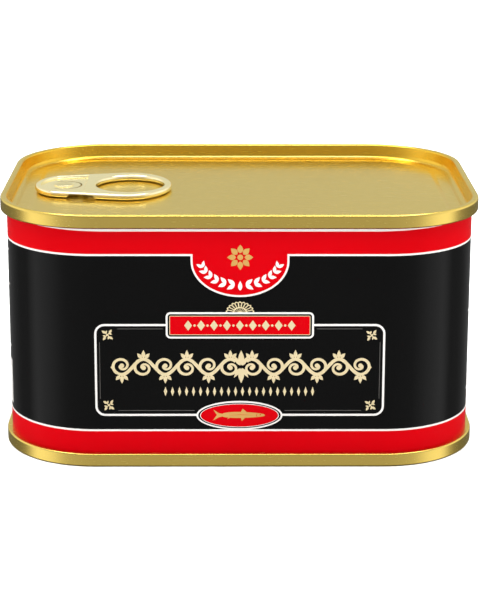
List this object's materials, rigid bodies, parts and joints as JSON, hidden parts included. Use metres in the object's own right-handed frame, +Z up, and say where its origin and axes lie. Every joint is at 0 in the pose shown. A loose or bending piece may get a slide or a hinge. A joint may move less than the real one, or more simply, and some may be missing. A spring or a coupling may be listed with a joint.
{
  "type": "oblong fish tin",
  "caption": "Shut oblong fish tin with rounded corners, double-seamed gold ends, a printed black and red wall and a riveted ring-pull on the lid.",
  "frame": {"origin": "middle of the rim of the base seam, which the tin stands on", "axes": "+X to the right along the longer side, away from the ring-pull's end; -Y out of the printed front; +Z up"},
  "size_m": [0.1068, 0.0768, 0.057],
  "materials": {
    "printed_wall": "gloss",
    "gold_lid": "satin",
    "gold_base": "satin",
    "champagne_tab": "gloss"
  },
  "bodies": {
    "root": {"body": "printed_wall", "top_end": "gold_lid", "bottom_end": "gold_base", "ring_tab": "champagne_tab"}
  },
  "joints": []
}
